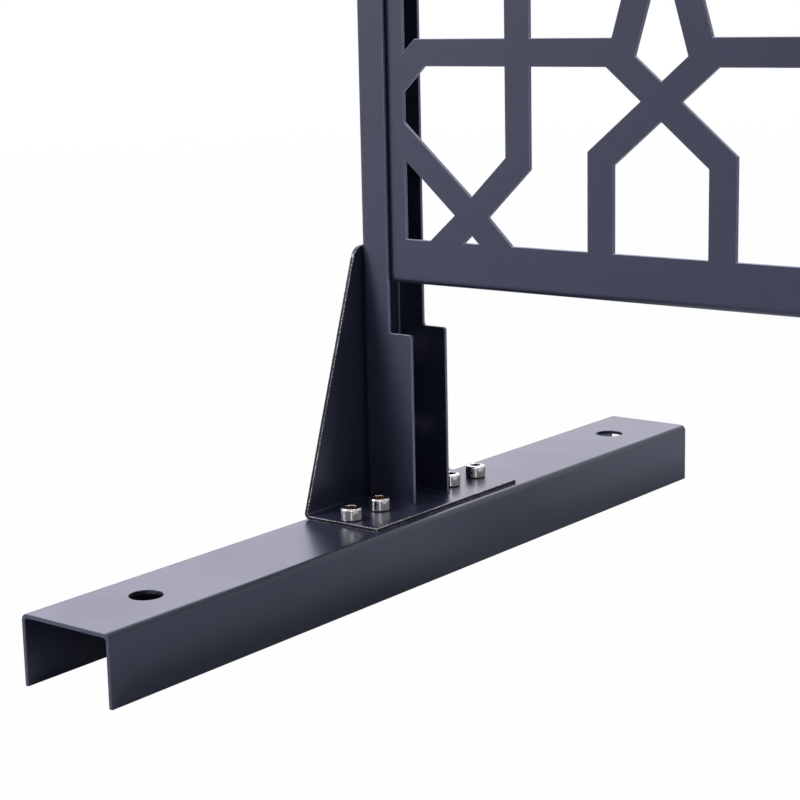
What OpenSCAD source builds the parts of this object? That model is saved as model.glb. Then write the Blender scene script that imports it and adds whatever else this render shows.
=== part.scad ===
// Free-standing laser cut metal screen: three cut pan panels stacked between two channel posts.
// Each post stands on a folded bracket that four screws hold to an inverted channel foot.
// +X runs along the screen, +Y from the front face to the back, +Z up.
// The origin is on the ground, under the middle of the feet and of the screen's width.

/* [Screen] */
// Width of each cut panel
panel_w = 1200; // [900:50:1500]
// Height of each cut panel
panel_h = 600; // [450:25:750]
// Height of the lowest panel's bottom edge above the ground
ground_gap = 134.5; // [125:0.5:220]
// Gap between one panel and the next
panel_gap = 0.5; // [0.2:0.1:0.9]
// How far the posts stand above the top panel
post_over = 4; // [1:1:30]

/* [Pattern] */
// Pattern cells across one panel
cells_across = 4; // [3:1:6]
// Pattern cells up one panel
cells_up = 2; // [1:1:3]
// Width of the level bars of the pattern
level_bar_w = 12; // [8:0.5:13]
// Width of the upright bars of the pattern
upright_bar_w = 12.9; // [8:0.1:14]
// Width of the plain border at each side of a panel
border_side_w = 22; // [16:0.2:26]
// Width of the plain border at the top and bottom of a panel
border_end_w = 20.5; // [14:0.5:28]
// From a panel's side to its first column of rings
first_column_in = 5.3; // [2:0.1:14]
// From a panel's bottom to its first row of rings
first_row_in = 32.5; // [26:0.5:42]

/* [Sheet metal] */
// Thickness of the panel sheet
panel_t = 1.8; // [1:0.1:2.5]
// Thickness of the post sheet
post_t = 1.6; // [1.2:0.1:2.5]
// Thickness of the bracket sheet
bracket_t = 1.8; // [1.5:0.1:3]
// Thickness of the foot sheet
foot_t = 1.8; // [1.5:0.1:3]
// Inside radius of every bend
bend_r = 1.2; // [0.6:0.1:2]

/* [Post] */
// Depth of the post channel, front to back
post_depth = 27.6; // [25:0.1:32]
// Width of the post's flanges beside the panels
post_flange_w = 15.5; // [12:0.5:19]
// Width of the post's flanges below the panels
base_flange_w = 28.2; // [22:0.1:34]
// Height of the wide flanges
base_flange_h = 79.5; // [50:0.5:88]
// Radius at the corners of the step in the flanges
step_r = 1.5; // [0.5:0.5:4]
// Middle of the post, behind the middle of the foot
post_mid_y = 8; // [0:0.1:12]

/* [Foot] */
// Length of the foot, front to back
foot_l = 435; // [400:5:600]
// Width of the foot
foot_w = 48.6; // [46:0.1:64]
// Height of the foot
foot_h = 30; // [24:1:42]
// How far the foot reaches outside the post
foot_out = 3.7; // [3:0.1:8]
// Diameter of the ground fixing holes
ground_hole_d = 14; // [8:0.5:20]
// From the foot's front end to its ground fixing hole
ground_hole_front_in = 44.2; // [20:0.1:90]
// From the foot's back end to its ground fixing hole
ground_hole_back_in = 39.8; // [20:0.1:90]

/* [Bracket] */
// Length of the bracket's base plate
plate_l = 109; // [104:0.5:150]
// Middle of the base plate, behind the middle of the foot
plate_mid_y = 5.4; // [2:0.1:10]
// How far the base plate stops short of the foot's inner side
plate_in = 4.6; // [3:0.1:8]
// Height of the upright gusset above the foot
gusset_h = 121; // [100:0.5:160]
// How far the gusset's top reaches in front of the post
gusset_lead = 3.8; // [2:0.1:12]
// How far the gusset's top reaches behind the post
gusset_lag = 3; // [1:0.1:8]
// Radius of the gusset's top corners
gusset_r = 7.5; // [4:0.5:12]

/* [Screws] */
// Diameter of the screws' threads
screw_d = 6; // [5:0.5:6.5]
// Diameter of the screw heads
head_d = 9.8; // [9:0.1:10.5]
// Height of the screw heads
head_h = 6; // [4:0.5:7]
// Size of the hexagon socket across its flats
socket_af = 5; // [4:0.5:6]
// Depth of the hexagon socket
socket_depth = 3; // [2:0.1:3.4]
// Length of the screws, under the head, at the feet and brackets
short_screw_l = 12; // [11:1:16]
// Length of the screws, under the head, that hold the panels
panel_screw_l = 16; // [14:1:20]
// From a base plate's end to its nearest screw
plate_screw_in = 6.2; // [5.5:0.1:9]
// Distance between the two screws of a pair
plate_screw_pitch = 20.9; // [16:0.1:23]
// Height of the lower screw between gusset and post, above the foot
post_screw_low = 26; // [14:1:34]
// Distance between the two screws between gusset and post
post_screw_pitch = 40; // [20:1:44]
// From a panel's top and bottom to its nearest side screw
panel_screw_in = 60; // [40:1:120]

/* [Nuts] */
// Size of the flange nuts across their flats
nut_af = 10; // [9:0.5:10.5]
// Height of the flange nuts, flange and all
nut_h = 6; // [5:0.5:7]
// Diameter of the nuts' flanges
nut_flange_d = 14.2; // [12.5:0.1:15]
// Thickness of the nuts' flanges
nut_flange_t = 1.5; // [1:0.1:2]
// Diameter of the blind inserts' barrels
insert_d = 9; // [8.5:0.1:9.4]
// Length of the blind inserts, flange and all
insert_l = 13; // [11:0.5:16]
// Diameter of the blind inserts' flanges
insert_flange_d = 12.4; // [11.4:0.1:13]
// Diameter of the blind inserts' bulge behind the sheet
bulge_d = 11; // [10.2:0.1:11.6]
// Length of that bulge
bulge_l = 4; // [2:0.5:5]

/* [Hidden] */
coat = [0.17, 0.18, 0.21];
steel = [0.78, 0.77, 0.76];
zinc = [0.66, 0.67, 0.69];

// Clearances and small sizes
side_clear = 1.2;
face_clear = 0.7;
back_clear = 3.7;
hole_clear = 0.5;
thread_clear = 0.1;
insert_clear = 0.1;
bend_gap = 0.2;
head_chamfer = 1;
tip_chamfer = 0.6;
bulge_taper = 1;
overrun = 1;
least_hole_area = 6;
arc_steps = 8;
round_fn = 48;

// Shares of half a cell, from the middle of a ring: where the lattice's lines cross and turn
ring_x_share = 0.359;
ring_z_share = 0.35;
bar_x_share = 0.525;
bar_z_share = 0.533;
turn_x_share = 0.174;
turn_z_share = 0.179;
house_share = 0.806;
eave_share = 0.206;
peak_share = 0.385;
ray_share = 0.8745;

// Levels and places worked out from the sizes above. On the left side x is 0 at the post's outer face.
plate_top = foot_h + bracket_t;
step_z = plate_top + base_flange_h;
gusset_top = foot_h + gusset_h;
bend_out = bend_r + bracket_t;
bend_clear = bend_r + bend_gap;
panel_step = panel_h + panel_gap;
post_top = ground_gap + 3 * panel_h + 2 * panel_gap + post_over;
half_w = panel_w / 2 + side_clear + post_t;
post_y0 = post_mid_y - post_depth / 2;
post_y1 = post_mid_y + post_depth / 2;
plate_y0 = plate_mid_y - plate_l / 2;
plate_y1 = plate_mid_y + plate_l / 2;
foot_mid_x = foot_w / 2 - foot_out;
plate_reach = foot_w - foot_out - plate_in;
panel_y = post_y0 + post_t + face_clear;
panel_d = post_depth - 2 * post_t - face_clear - back_clear;
panel_round = bend_r + panel_t;
half_cell_w = (panel_w - 2 * first_column_in) / (2 * cells_across);
half_cell_h = (panel_h - 2 * first_row_in) / (2 * cells_up);
screw_hole_d = screw_d + hole_clear;
insert_hole_d = insert_d + insert_clear;
foot_screw_ys = [
  plate_y0 + plate_screw_in, plate_y0 + plate_screw_in + plate_screw_pitch,
  plate_y1 - plate_screw_in - plate_screw_pitch, plate_y1 - plate_screw_in
];
ground_hole_ys = [ground_hole_front_in - foot_l / 2, foot_l / 2 - ground_hole_back_in];
post_screw_zs = [plate_top + post_screw_low, plate_top + post_screw_low + post_screw_pitch];
panel_screw_vs = [panel_screw_in, panel_h / 2, panel_h - panel_screw_in];
panel_zs = [for (i = [0:2]) ground_gap + i * panel_step];

// Plane geometry
function cross2(a, b) = a.x * b.y - a.y * b.x;
function area(p) = len(p) < 3 ? 0 : sum([for (i = [0:len(p) - 1]) cross2(p[i], p[(i + 1) % len(p)])]) / 2;
function sum(v, i = 0) = i == len(v) ? 0 : v[i] + sum(v, i + 1);
function unit(v) = v / norm(v);
function left_normal(v) = [-v.y, v.x];
function back_to_front(p) = [for (i = [len(p) - 1:-1:0]) p[i]];

// Where the line through a along u meets the line through b along v
function meet(a, u, b, v) = a + u * cross2(b - a, v) / cross2(u, v);

// An outline drawn in by d on every side
function inset(p, d) = [
  for (i = [0:len(p) - 1])
    let (
      a = p[(i + len(p) - 1) % len(p)], b = p[i], c = p[(i + 1) % len(p)],
      u = unit(b - a), v = unit(c - b)
    )
    meet(b + left_normal(u) * d, u, b + left_normal(v) * d, v)
];

// The part of an outline where n * point is at most m
function clipped(p, n, m) = len(p) == 0 ? [] : [
  for (i = [0:len(p) - 1])
    let (a = p[i], b = p[(i + 1) % len(p)], da = n * a - m, db = n * b - m)
    each concat(da <= 0 ? [a] : [], da * db < 0 ? [a + (b - a) * da / (da - db)] : [])
];

// The corner b of an outline, rounded to radius r
function rounded_corner(a, b, c, r) =
  let (
    u = unit(b - a), v = unit(c - b), turn = sign(cross2(u, v)),
    sweep = acos(u * v), back = r * tan(sweep / 2),
    centre = b - u * back + left_normal(u) * r * turn
  )
  [for (i = [0:arc_steps])
    let (k = sweep * i / arc_steps) centre + (u * sin(k) - left_normal(u) * turn * cos(k)) * r];

// An outline of [x, y, radius] points, its corners rounded
function rounded(p) = [
  for (i = [0:len(p) - 1])
    let (
      n = len(p), a = p[(i + n - 1) % n], b = p[i], c = p[(i + 1) % n],
      a2 = [a.x, a.y], b2 = [b.x, b.y], c2 = [c.x, c.y]
    )
    each b[2] > 0 ? rounded_corner(a2, b2, c2, b[2]) : [b2]
];

// Pattern: each opening is an outline through the middles of the bars round it
function at(a, b) = [a * half_cell_w, b * half_cell_h];
roof_slope = (peak_share - eave_share) / (1 - house_share);
wing_share = 1 - (bar_z_share - peak_share) / roof_slope;
tall_wing_share = 1 - (bar_x_share - peak_share) / roof_slope;
ray_slope = (1 - bar_z_share) / (1 - ray_share);
kite_share = (1 - peak_share) / (roof_slope + ray_slope);
kite_drop_share = kite_share * ray_slope;

ring = [at(ring_x_share, 0), at(0, ring_z_share), at(-ring_x_share, 0), at(0, -ring_z_share)];
shield = [
  at(0, ring_z_share), at(turn_x_share, bar_z_share), at(bar_x_share, bar_z_share),
  at(bar_x_share, turn_z_share), at(ring_x_share, 0)
];
side_arrow_half = [
  at(bar_x_share, turn_z_share), at(bar_x_share, bar_z_share), at(wing_share, bar_z_share),
  at(1, peak_share), at(house_share, eave_share)
];
top_arrow_half = [
  at(turn_x_share, bar_z_share), at(bar_x_share, bar_z_share), at(bar_x_share, tall_wing_share),
  at(peak_share, 1), at(eave_share, house_share)
];
function flip_x(p) = [for (q = p) [-q.x, q.y]];
function flip_z(p) = [for (q = p) [q.x, -q.y]];
side_arrow = concat([at(ring_x_share, 0)], side_arrow_half, back_to_front(flip_z(side_arrow_half)));
top_arrow = concat([at(0, ring_z_share)], top_arrow_half, back_to_front(flip_x(top_arrow_half)));
house_side = 1 - house_share;
house = [
  at(0, peak_share), at(house_side, eave_share), at(house_side, -eave_share),
  at(0, -peak_share), at(-house_side, -eave_share), at(-house_side, eave_share)
];
lying_house = [
  at(peak_share, 0), at(eave_share, house_side), at(-eave_share, house_side),
  at(-peak_share, 0), at(-eave_share, -house_side), at(eave_share, -house_side)
];
kite = [at(0, 0), at(kite_share, kite_drop_share), at(0, 1 - peak_share), at(-kite_share, kite_drop_share)];
lying_kite = [
  at(0, 0), at(kite_drop_share, kite_share), at(1 - peak_share, 0), at(kite_drop_share, -kite_share)
];
leaf = [
  at(0, 0), at(1 - ray_share, 1 - bar_z_share), at(1 - bar_x_share, 1 - bar_z_share),
  at(1 - bar_x_share, 1 - ray_share)
];

// The openings round a ring and round a star, and those that lie between two of them
round_ring = concat(
  [ring, side_arrow, flip_x(side_arrow), top_arrow, flip_z(top_arrow)],
  [for (p = [shield, flip_x(shield)]) each [p, flip_z(p)]]
);
round_star = concat(
  [kite, flip_z(kite), lying_kite, flip_x(lying_kite)],
  [for (p = [leaf, flip_x(leaf)]) each [p, flip_z(p)]]
);
function knot(i, j) = [first_column_in + i * half_cell_w, first_row_in + j * half_cell_h];
function placed(shapes, i, j) = [for (p = shapes) [for (q = p) q + knot(i, j)]];
openings = concat(
  [for (i = [0:cells_across], j = [0:cells_up]) each placed(round_ring, 2 * i, 2 * j)],
  [for (i = [1:cells_across], j = [1:cells_up]) each placed(round_star, 2 * i - 1, 2 * j - 1)],
  [for (i = [1:cells_across], j = [0:cells_up]) each placed([house], 2 * i - 1, 2 * j)],
  [for (i = [0:cells_across], j = [1:cells_up]) each placed([lying_house], 2 * i, 2 * j - 1)]
);
function inside_border(p) =
  clipped(clipped(clipped(clipped(p, [-1, 0], -border_side_w), [1, 0], panel_w - border_side_w),
    [0, -1], -border_end_w), [0, 1], panel_h - border_end_w);

// The outline of an opening, without its share of the bars. Upright bars come out wider than level ones.
bar_stretch = upright_bar_w / level_bar_w;
function widened(p, k) = [for (q = p) [q.x * k, q.y]];
function freed(p) = widened(inset(widened(p, 1 / bar_stretch), level_bar_w / 2), bar_stretch);
cut_outlines = [
  for (p = openings)
    let (q = inside_border(freed(area(p) < 0 ? back_to_front(p) : p)))
    if (area(q) > least_hole_area) q
];

// Where each outline's points start in one list of all the points
function starts(v, i = 0, n = 0) = i == len(v) ? [] : concat([n], starts(v, i + 1, n + len(v[i])));

// A sheet with its cuts, drawn as one outline with holes
module cut_sheet(outer, cuts) {
  all = concat([outer], cuts);
  first = starts(all);
  polygon(
    points = [for (p = all) each p],
    paths = [for (i = [0:len(all) - 1]) [for (k = [0:len(all[i]) - 1]) first[i] + k]]
  );
}

// A sheet that stands in the XZ plane and runs back from y = 0 by its thickness
module upright(t) translate([0, t, 0]) rotate([90, 0, 0]) linear_extrude(t) children();

// A bar along Y with its outline in the XZ plane
module along_y(y0, y1) translate([0, y1, 0]) rotate([90, 0, 0]) linear_extrude(y1 - y0) children();

module round_hole(d, h) translate([0, 0, -overrun]) cylinder(d = d, h = h + 2 * overrun, $fn = round_fn);

// Panel: a cut face with a folded return at each of its four sides
fold_profile = rounded([
  [panel_round, 0, 0], [0, 0, panel_round], [0, panel_d, 0],
  [panel_t, panel_d, 0], [panel_t, panel_t, bend_r], [panel_round, panel_t, 0]
]);
module side_return()
  translate([0, 0, panel_round]) linear_extrude(panel_h - 2 * panel_round) polygon(fold_profile);
module end_return()
  translate([panel_w - panel_round, 0, 0]) rotate([0, -90, 0])
    linear_extrude(panel_w - 2 * panel_round) polygon(fold_profile);

module panel(z) {
  r = panel_round;
  color(coat) translate([-panel_w / 2, panel_y, z]) difference() {
    union() {
      upright(panel_t)
        cut_sheet([[r, r], [panel_w - r, r], [panel_w - r, panel_h - r], [r, panel_h - r]], cut_outlines);
      side_return();
      translate([panel_w, 0, 0]) mirror([1, 0, 0]) side_return();
      end_return();
      translate([0, 0, panel_h]) mirror([0, 0, 1]) end_return();
    }
    for (v = panel_screw_vs, x = [0, panel_w - panel_t])
      translate([x, post_mid_y - panel_y, v]) rotate([0, 90, 0]) round_hole(insert_hole_d, panel_t);
  }
}

// Post: a channel open towards the panels, with wider flanges below them.
// Its lower outer edge is cut back to clear the bracket's bend.
module post() {
  wide = base_flange_w;
  narrow = post_flange_w;
  color(coat) difference() {
    translate([0, 0, plate_top]) linear_extrude(post_top - plate_top) polygon(rounded([
      [0, post_y0, bend_r + post_t], [wide, post_y0, 0], [wide, post_y0 + post_t, 0],
      [post_t, post_y0 + post_t, bend_r], [post_t, post_y1 - post_t, bend_r],
      [wide, post_y1 - post_t, 0], [wide, post_y1, 0], [0, post_y1, bend_r + post_t]
    ]));
    along_y(post_y0 - overrun, post_y1 + overrun) polygon(rounded([
      [narrow, post_top + overrun, 0], [narrow, step_z, step_r], [wide, step_z, step_r],
      [wide, step_z - 2 * step_r, 0], [wide + overrun, step_z - 2 * step_r, 0],
      [wide + overrun, post_top + overrun, 0]
    ]));
    along_y(post_y0 - overrun, post_y1 + overrun)
      polygon([[0, plate_top], [bend_clear, plate_top], [0, plate_top + bend_clear]]);
    at_post_screws() round_hole(screw_hole_d, post_t);
    for (z = panel_zs) at_panel_screws(z) round_hole(screw_hole_d, post_t);
  }
}

// Bracket: a base plate on the foot and an upright gusset outside the post, folded from one sheet
module bracket() {
  color(coat) difference() {
    union() {
      along_y(plate_y0, plate_y1) polygon(rounded([
        [plate_reach, foot_h, 0], [plate_reach, plate_top, 0], [0, plate_top, bend_r],
        [0, foot_h + bend_out, 0], [-bracket_t, foot_h + bend_out, 0], [-bracket_t, foot_h, bend_out]
      ]));
      translate([-bracket_t, 0, 0]) rotate([90, 0, 90]) linear_extrude(bracket_t) polygon(rounded([
        [plate_y0, foot_h + bend_out, 0], [plate_y1, foot_h + bend_out, 0],
        [post_y1 + gusset_lag, gusset_top, gusset_r], [post_y0 - gusset_lead, gusset_top, gusset_r]
      ]));
    }
    at_foot_screws() translate([0, 0, foot_h]) round_hole(screw_hole_d, bracket_t);
    at_post_screws() translate([0, 0, -bracket_t]) round_hole(screw_hole_d, bracket_t);
  }
}

// Foot: a channel that stands on its two edges
module foot() {
  outer = bend_r + foot_t;
  color(coat) difference() {
    translate([-foot_out, 0, 0]) along_y(-foot_l / 2, foot_l / 2) polygon(rounded([
      [0, 0, 0], [foot_t, 0, 0], [foot_t, foot_h - foot_t, bend_r],
      [foot_w - foot_t, foot_h - foot_t, bend_r], [foot_w - foot_t, 0, 0],
      [foot_w, 0, 0], [foot_w, foot_h, outer], [0, foot_h, outer]
    ]));
    at_foot_screws() translate([0, 0, foot_h - foot_t]) round_hole(screw_hole_d, foot_t);
    for (y = ground_hole_ys) translate([foot_mid_x, y, foot_h - foot_t]) round_hole(ground_hole_d, foot_t);
  }
}

// Fasteners. Each stands on its seat at z = 0, with its head or flange above.
module cap_screw(length) {
  r = head_d / 2;
  s = screw_d / 2;
  color(steel) difference() {
    rotate_extrude($fn = round_fn) polygon([
      [0, -length], [s - tip_chamfer, -length], [s, -length + tip_chamfer], [s, 0],
      [r, 0], [r, head_h - head_chamfer], [r - head_chamfer, head_h], [0, head_h]
    ]);
    translate([0, 0, head_h - socket_depth])
      cylinder(d = socket_af / cos(30), h = socket_depth + overrun, $fn = 6);
  }
}

module flange_nut() {
  color(zinc) difference() {
    union() {
      cylinder(d = nut_flange_d, h = nut_flange_t, $fn = round_fn);
      translate([0, 0, nut_flange_t]) cylinder(d = nut_af / cos(30), h = nut_h - nut_flange_t, $fn = 6);
    }
    round_hole(screw_d + thread_clear, nut_h);
  }
}

// A blind insert: its flange fills the clearance beside the post, its bulge grips behind the sheet
module insert() {
  b = insert_d / 2;
  color(zinc) difference() {
    rotate_extrude($fn = round_fn) polygon([
      [0, 0], [insert_flange_d / 2, 0], [insert_flange_d / 2, side_clear], [b, side_clear],
      [b, side_clear + panel_t], [bulge_d / 2, side_clear + panel_t],
      [bulge_d / 2, side_clear + panel_t + bulge_l], [b, side_clear + panel_t + bulge_l + bulge_taper],
      [b, insert_l], [0, insert_l]
    ]);
    round_hole(screw_d + thread_clear, insert_l);
  }
}

// Places of the fasteners on the left side. Children stand on the sheet's face, z out of it.
module at_foot_screws() for (y = foot_screw_ys) translate([foot_mid_x, y, 0]) children();
module at_post_screws() for (z = post_screw_zs) translate([0, post_mid_y, z]) rotate([0, 90, 0]) children();
module at_panel_screws(z)
  for (v = panel_screw_vs) translate([0, post_mid_y, z + v]) rotate([0, 90, 0]) children();

module foot_screws() at_foot_screws() translate([0, 0, plate_top]) cap_screw(short_screw_l);
module foot_nuts()
  at_foot_screws() translate([0, 0, foot_h - foot_t]) mirror([0, 0, 1]) flange_nut();
module post_screws()
  at_post_screws() translate([0, 0, -bracket_t]) mirror([0, 0, 1]) cap_screw(short_screw_l);
module post_nuts() at_post_screws() translate([0, 0, post_t]) flange_nut();
module panel_screws(z) at_panel_screws(z) mirror([0, 0, 1]) cap_screw(panel_screw_l);
module panel_inserts(z) at_panel_screws(z) translate([0, 0, post_t]) insert();

// The left side stands with its post's outer face at -half_w, and the right side mirrors it
module on_left() translate([-half_w, 0, 0]) children();
module on_right() mirror([1, 0, 0]) on_left() children();

module foot_left() on_left() foot();
module foot_right() on_right() foot();
module bracket_left() on_left() bracket();
module bracket_right() on_right() bracket();
module post_left() on_left() post();
module post_right() on_right() post();
module panel_lower() panel(panel_zs[0]);
module panel_middle() panel(panel_zs[1]);
module panel_upper() panel(panel_zs[2]);
module foot_screws_left() on_left() foot_screws();
module foot_screws_right() on_right() foot_screws();
module foot_nuts_left() on_left() foot_nuts();
module foot_nuts_right() on_right() foot_nuts();
module post_screws_left() on_left() post_screws();
module post_screws_right() on_right() post_screws();
module post_nuts_left() on_left() post_nuts();
module post_nuts_right() on_right() post_nuts();
module lower_panel_screws_left() on_left() panel_screws(panel_zs[0]);
module lower_panel_screws_right() on_right() panel_screws(panel_zs[0]);
module middle_panel_screws_left() on_left() panel_screws(panel_zs[1]);
module middle_panel_screws_right() on_right() panel_screws(panel_zs[1]);
module upper_panel_screws_left() on_left() panel_screws(panel_zs[2]);
module upper_panel_screws_right() on_right() panel_screws(panel_zs[2]);
module lower_panel_inserts_left() on_left() panel_inserts(panel_zs[0]);
module lower_panel_inserts_right() on_right() panel_inserts(panel_zs[0]);
module middle_panel_inserts_left() on_left() panel_inserts(panel_zs[1]);
module middle_panel_inserts_right() on_right() panel_inserts(panel_zs[1]);
module upper_panel_inserts_left() on_left() panel_inserts(panel_zs[2]);
module upper_panel_inserts_right() on_right() panel_inserts(panel_zs[2]);

foot_left();
foot_right();
bracket_left();
bracket_right();
post_left();
post_right();
panel_lower();
panel_middle();
panel_upper();
foot_screws_left();
foot_screws_right();
foot_nuts_left();
foot_nuts_right();
post_screws_left();
post_screws_right();
post_nuts_left();
post_nuts_right();
lower_panel_screws_left();
lower_panel_screws_right();
middle_panel_screws_left();
middle_panel_screws_right();
upper_panel_screws_left();
upper_panel_screws_right();
lower_panel_inserts_left();
lower_panel_inserts_right();
middle_panel_inserts_left();
middle_panel_inserts_right();
upper_panel_inserts_left();
upper_panel_inserts_right();
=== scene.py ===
# %% [markdown]
# # A laser cut metal screen
#
# The real object is a free-standing screen: three lattice panels, cut by laser and folded at
# their edges, stand stacked between two channel posts. A folded bracket and a channel foot hold
# each post up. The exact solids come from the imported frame. This lesson gives them the finish of
# the real thing: dressed edges, a semi-gloss powder coat, turned steel screws and soft studio light.

import math
from functools import partial

import bmesh
import bpy
from mathutils import Matrix, Quaternion, Vector


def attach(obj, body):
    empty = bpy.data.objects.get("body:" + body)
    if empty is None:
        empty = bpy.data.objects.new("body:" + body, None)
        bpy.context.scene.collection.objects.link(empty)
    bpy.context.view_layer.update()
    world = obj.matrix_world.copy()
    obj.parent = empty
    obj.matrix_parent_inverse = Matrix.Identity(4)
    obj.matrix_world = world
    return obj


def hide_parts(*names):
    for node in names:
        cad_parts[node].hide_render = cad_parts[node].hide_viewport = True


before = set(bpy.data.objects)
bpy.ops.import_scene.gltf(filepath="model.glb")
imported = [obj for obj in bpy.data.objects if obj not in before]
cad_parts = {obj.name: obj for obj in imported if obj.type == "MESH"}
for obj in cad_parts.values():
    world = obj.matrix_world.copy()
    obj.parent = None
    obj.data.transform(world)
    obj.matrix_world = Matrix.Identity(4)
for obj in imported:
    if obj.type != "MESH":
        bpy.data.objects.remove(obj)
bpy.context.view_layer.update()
BODY = "root"
MM = 0.001

# %% [markdown]
# ## The camera
#
# A product photographer shot the foot of the screen from a little above the ground with a short
# telephoto lens. The place, the turn and the lens were solved from the straight edges of the foot,
# the post and the lattice, so the camera needs no shift.

# %% Place the camera
CAMERA_AT_MM = (-38.84, -702.65, 261.27)
CAMERA_AZIMUTH_DEG = 37.919
CAMERA_ELEVATION_DEG = 11.565
CAMERA_ROLL_DEG = -1.216
FOCAL_LENGTH_PX = 1954.72
PHOTO_WIDTH_PX = 800
SENSOR_MM = 36
CLIP_M = (0.01, 100)


def placed(name, data):
    """A new object with this data, linked into the scene."""
    thing = bpy.data.objects.new(name, data)
    bpy.context.scene.collection.objects.link(thing)
    return thing


def turn_to(thing, turn):
    thing.rotation_mode = "QUATERNION"
    thing.rotation_quaternion = turn


def back_direction(azimuth_deg, elevation_deg):
    """The direction from what a camera looks at back to the camera. Azimuth 0 looks along +Y."""
    azimuth, elevation = math.radians(azimuth_deg), math.radians(elevation_deg)
    level = math.cos(elevation)
    return Vector((math.sin(azimuth) * level, -math.cos(azimuth) * level, math.sin(elevation)))


def add_camera():
    data = bpy.data.cameras.new("photo_camera")
    data.sensor_width = SENSOR_MM
    data.lens = FOCAL_LENGTH_PX * SENSOR_MM / PHOTO_WIDTH_PX
    data.clip_start, data.clip_end = CLIP_M
    camera = placed("photo_camera", data)
    camera.location = Vector(CAMERA_AT_MM) * MM
    level_turn = (-back_direction(CAMERA_AZIMUTH_DEG, CAMERA_ELEVATION_DEG)).to_track_quat("-Z", "Y")
    turn_to(camera, level_turn @ Quaternion((0, 0, 1), math.radians(CAMERA_ROLL_DEG)))
    bpy.context.scene.camera = camera
    return camera


camera = add_camera()
print("lens in mm:", round(camera.data.lens, 2))

# %% [markdown]
# ## Helpers for nodes
#
# A material, a world or a shape that is worked out is a tree of nodes. A few helpers add a node, fill
# or link its inputs and hand on its first output, so each recipe below stays short.

# %% Node helpers
def add_node(tree, kind, inputs=None, **settings):
    """Adds a node. Each input is a plain value or the output socket of another node."""
    node = tree.nodes.new(kind)
    for name, value in settings.items():
        setattr(node, name, value)
    for name, value in (inputs or {}).items():
        if isinstance(value, bpy.types.NodeSocket):
            tree.links.new(value, node.inputs[name])
        else:
            node.inputs[name].default_value = value
    return node


def add_step(tree, kind, inputs=None, **settings):
    """Adds a node and gives its first output."""
    return add_node(tree, kind, inputs, **settings).outputs[0]


def calc(tree, operation, a, b=0.0):
    """One step of arithmetic on plain values or outputs."""
    return add_step(tree, "ShaderNodeMath", {0: a, 1: b}, operation=operation)


def respan(tree, value, span, to=(0, 1), **settings):
    """A value moved from one span to another, and held at the ends."""
    return add_step(tree, "ShaderNodeMapRange",
                    {"Value": value, "From Min": span[0], "From Max": span[1],
                     "To Min": to[0], "To Max": to[1]}, **settings)


def blank_tree(owner):
    """The emptied node tree of a material or a world."""
    owner.use_nodes = True
    owner.node_tree.nodes.clear()
    return owner.node_tree


def new_finish(name):
    """A material, its empty node tree, and the object coordinates that its noise runs in."""
    material = bpy.data.materials.new(name)
    tree = blank_tree(material)
    return material, tree, add_node(tree, "ShaderNodeTexCoord").outputs["Object"]


def seen_directly(tree):
    """1 for camera, mirror and glass rays, and 0 for the rays that carry soft light."""
    rays = add_node(tree, "ShaderNodeLightPath").outputs
    plain = calc(tree, "MAXIMUM", rays["Is Camera Ray"], rays["Is Glossy Ray"])
    return calc(tree, "MAXIMUM", plain, rays["Is Transmission Ray"])


def blend(tree, share, first, second):
    """A colour between two others, for a share from 0 to 1."""
    node = add_node(tree, "ShaderNodeMix", data_type="RGBA")
    for name, value in (("Factor_Float", share), ("A_Color", first), ("B_Color", second)):
        socket = next(one for one in node.inputs if one.identifier == name)
        if isinstance(value, bpy.types.NodeSocket):
            tree.links.new(value, socket)
        else:
            socket.default_value = value
    return next(one for one in node.outputs if one.identifier == "Result_Color")


# %% [markdown]
# ## The studio
#
# The backdrop is plain white, and the floor shows as white to the camera. The light that both give
# stays low. The floor keeps a faint shadow near the object and fades into the backdrop further out,
# so no horizon shows. In the coat's gloss the floor is a light paint that takes the shade under the
# foot, which leaves the channel dark inside. One large softbox over the front left is the key light
# and leaves the gusset's inner side in deep shade. A sheet overhead lights the floor beside the foot,
# which its side mirrors. A wide wall of light behind shines in the foot's top, a low card fills the
# front a little, and a small strip by the camera puts a bright band on each screw head.

# %% Build the studio
WORLD_LIGHT = 0.12
FLOOR_SIDE_M = 60
FLOOR_COLOR = (0.4, 0.4, 0.41, 1)
FLOOR_MIRROR_COLOR = (0.86, 0.92, 1, 1)
FLOOR_WHITE_SHARE = (0.985, 1.0)
FLOOR_MIRROR_SHARE = 0.05
FLOOR_FADE_M = (1.2, 4.0)
LAMPS = {
    "key_softbox": {"at": (-2.5, -2.3, 2.2), "to": (-0.4, 0, 0.3), "size": (1.5, 1.5), "watts": 115,
                    "color": (1, 0.985, 1)},
    "low_card": {"at": (-2.5, -1.9, 0.5), "to": (-0.5, 0, 0.2), "size": (1.2, 0.9), "watts": 3,
                 "color": (0.97, 0.97, 1)},
    "back_wall": {"at": (-3.0, 3.1, 2.15), "to": (-0.5, 0, 0.1), "size": (4.4, 2.2), "watts": 61,
                  "color": (0.81, 0.79, 1)},
    "top_sheet": {"at": (0.3, 0.6, 2.6), "to": (-0.3, 0.2, 0), "size": (1.6, 1.6), "watts": 26,
                  "color": (1, 1, 1)},
    "camera_strip": {"at": (1.6, -2.3, 0.6), "to": (-0.6, 0, 0.1), "size": (0.5, 0.6), "watts": 9,
                     "color": (0.98, 0.99, 1)},
}


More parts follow.
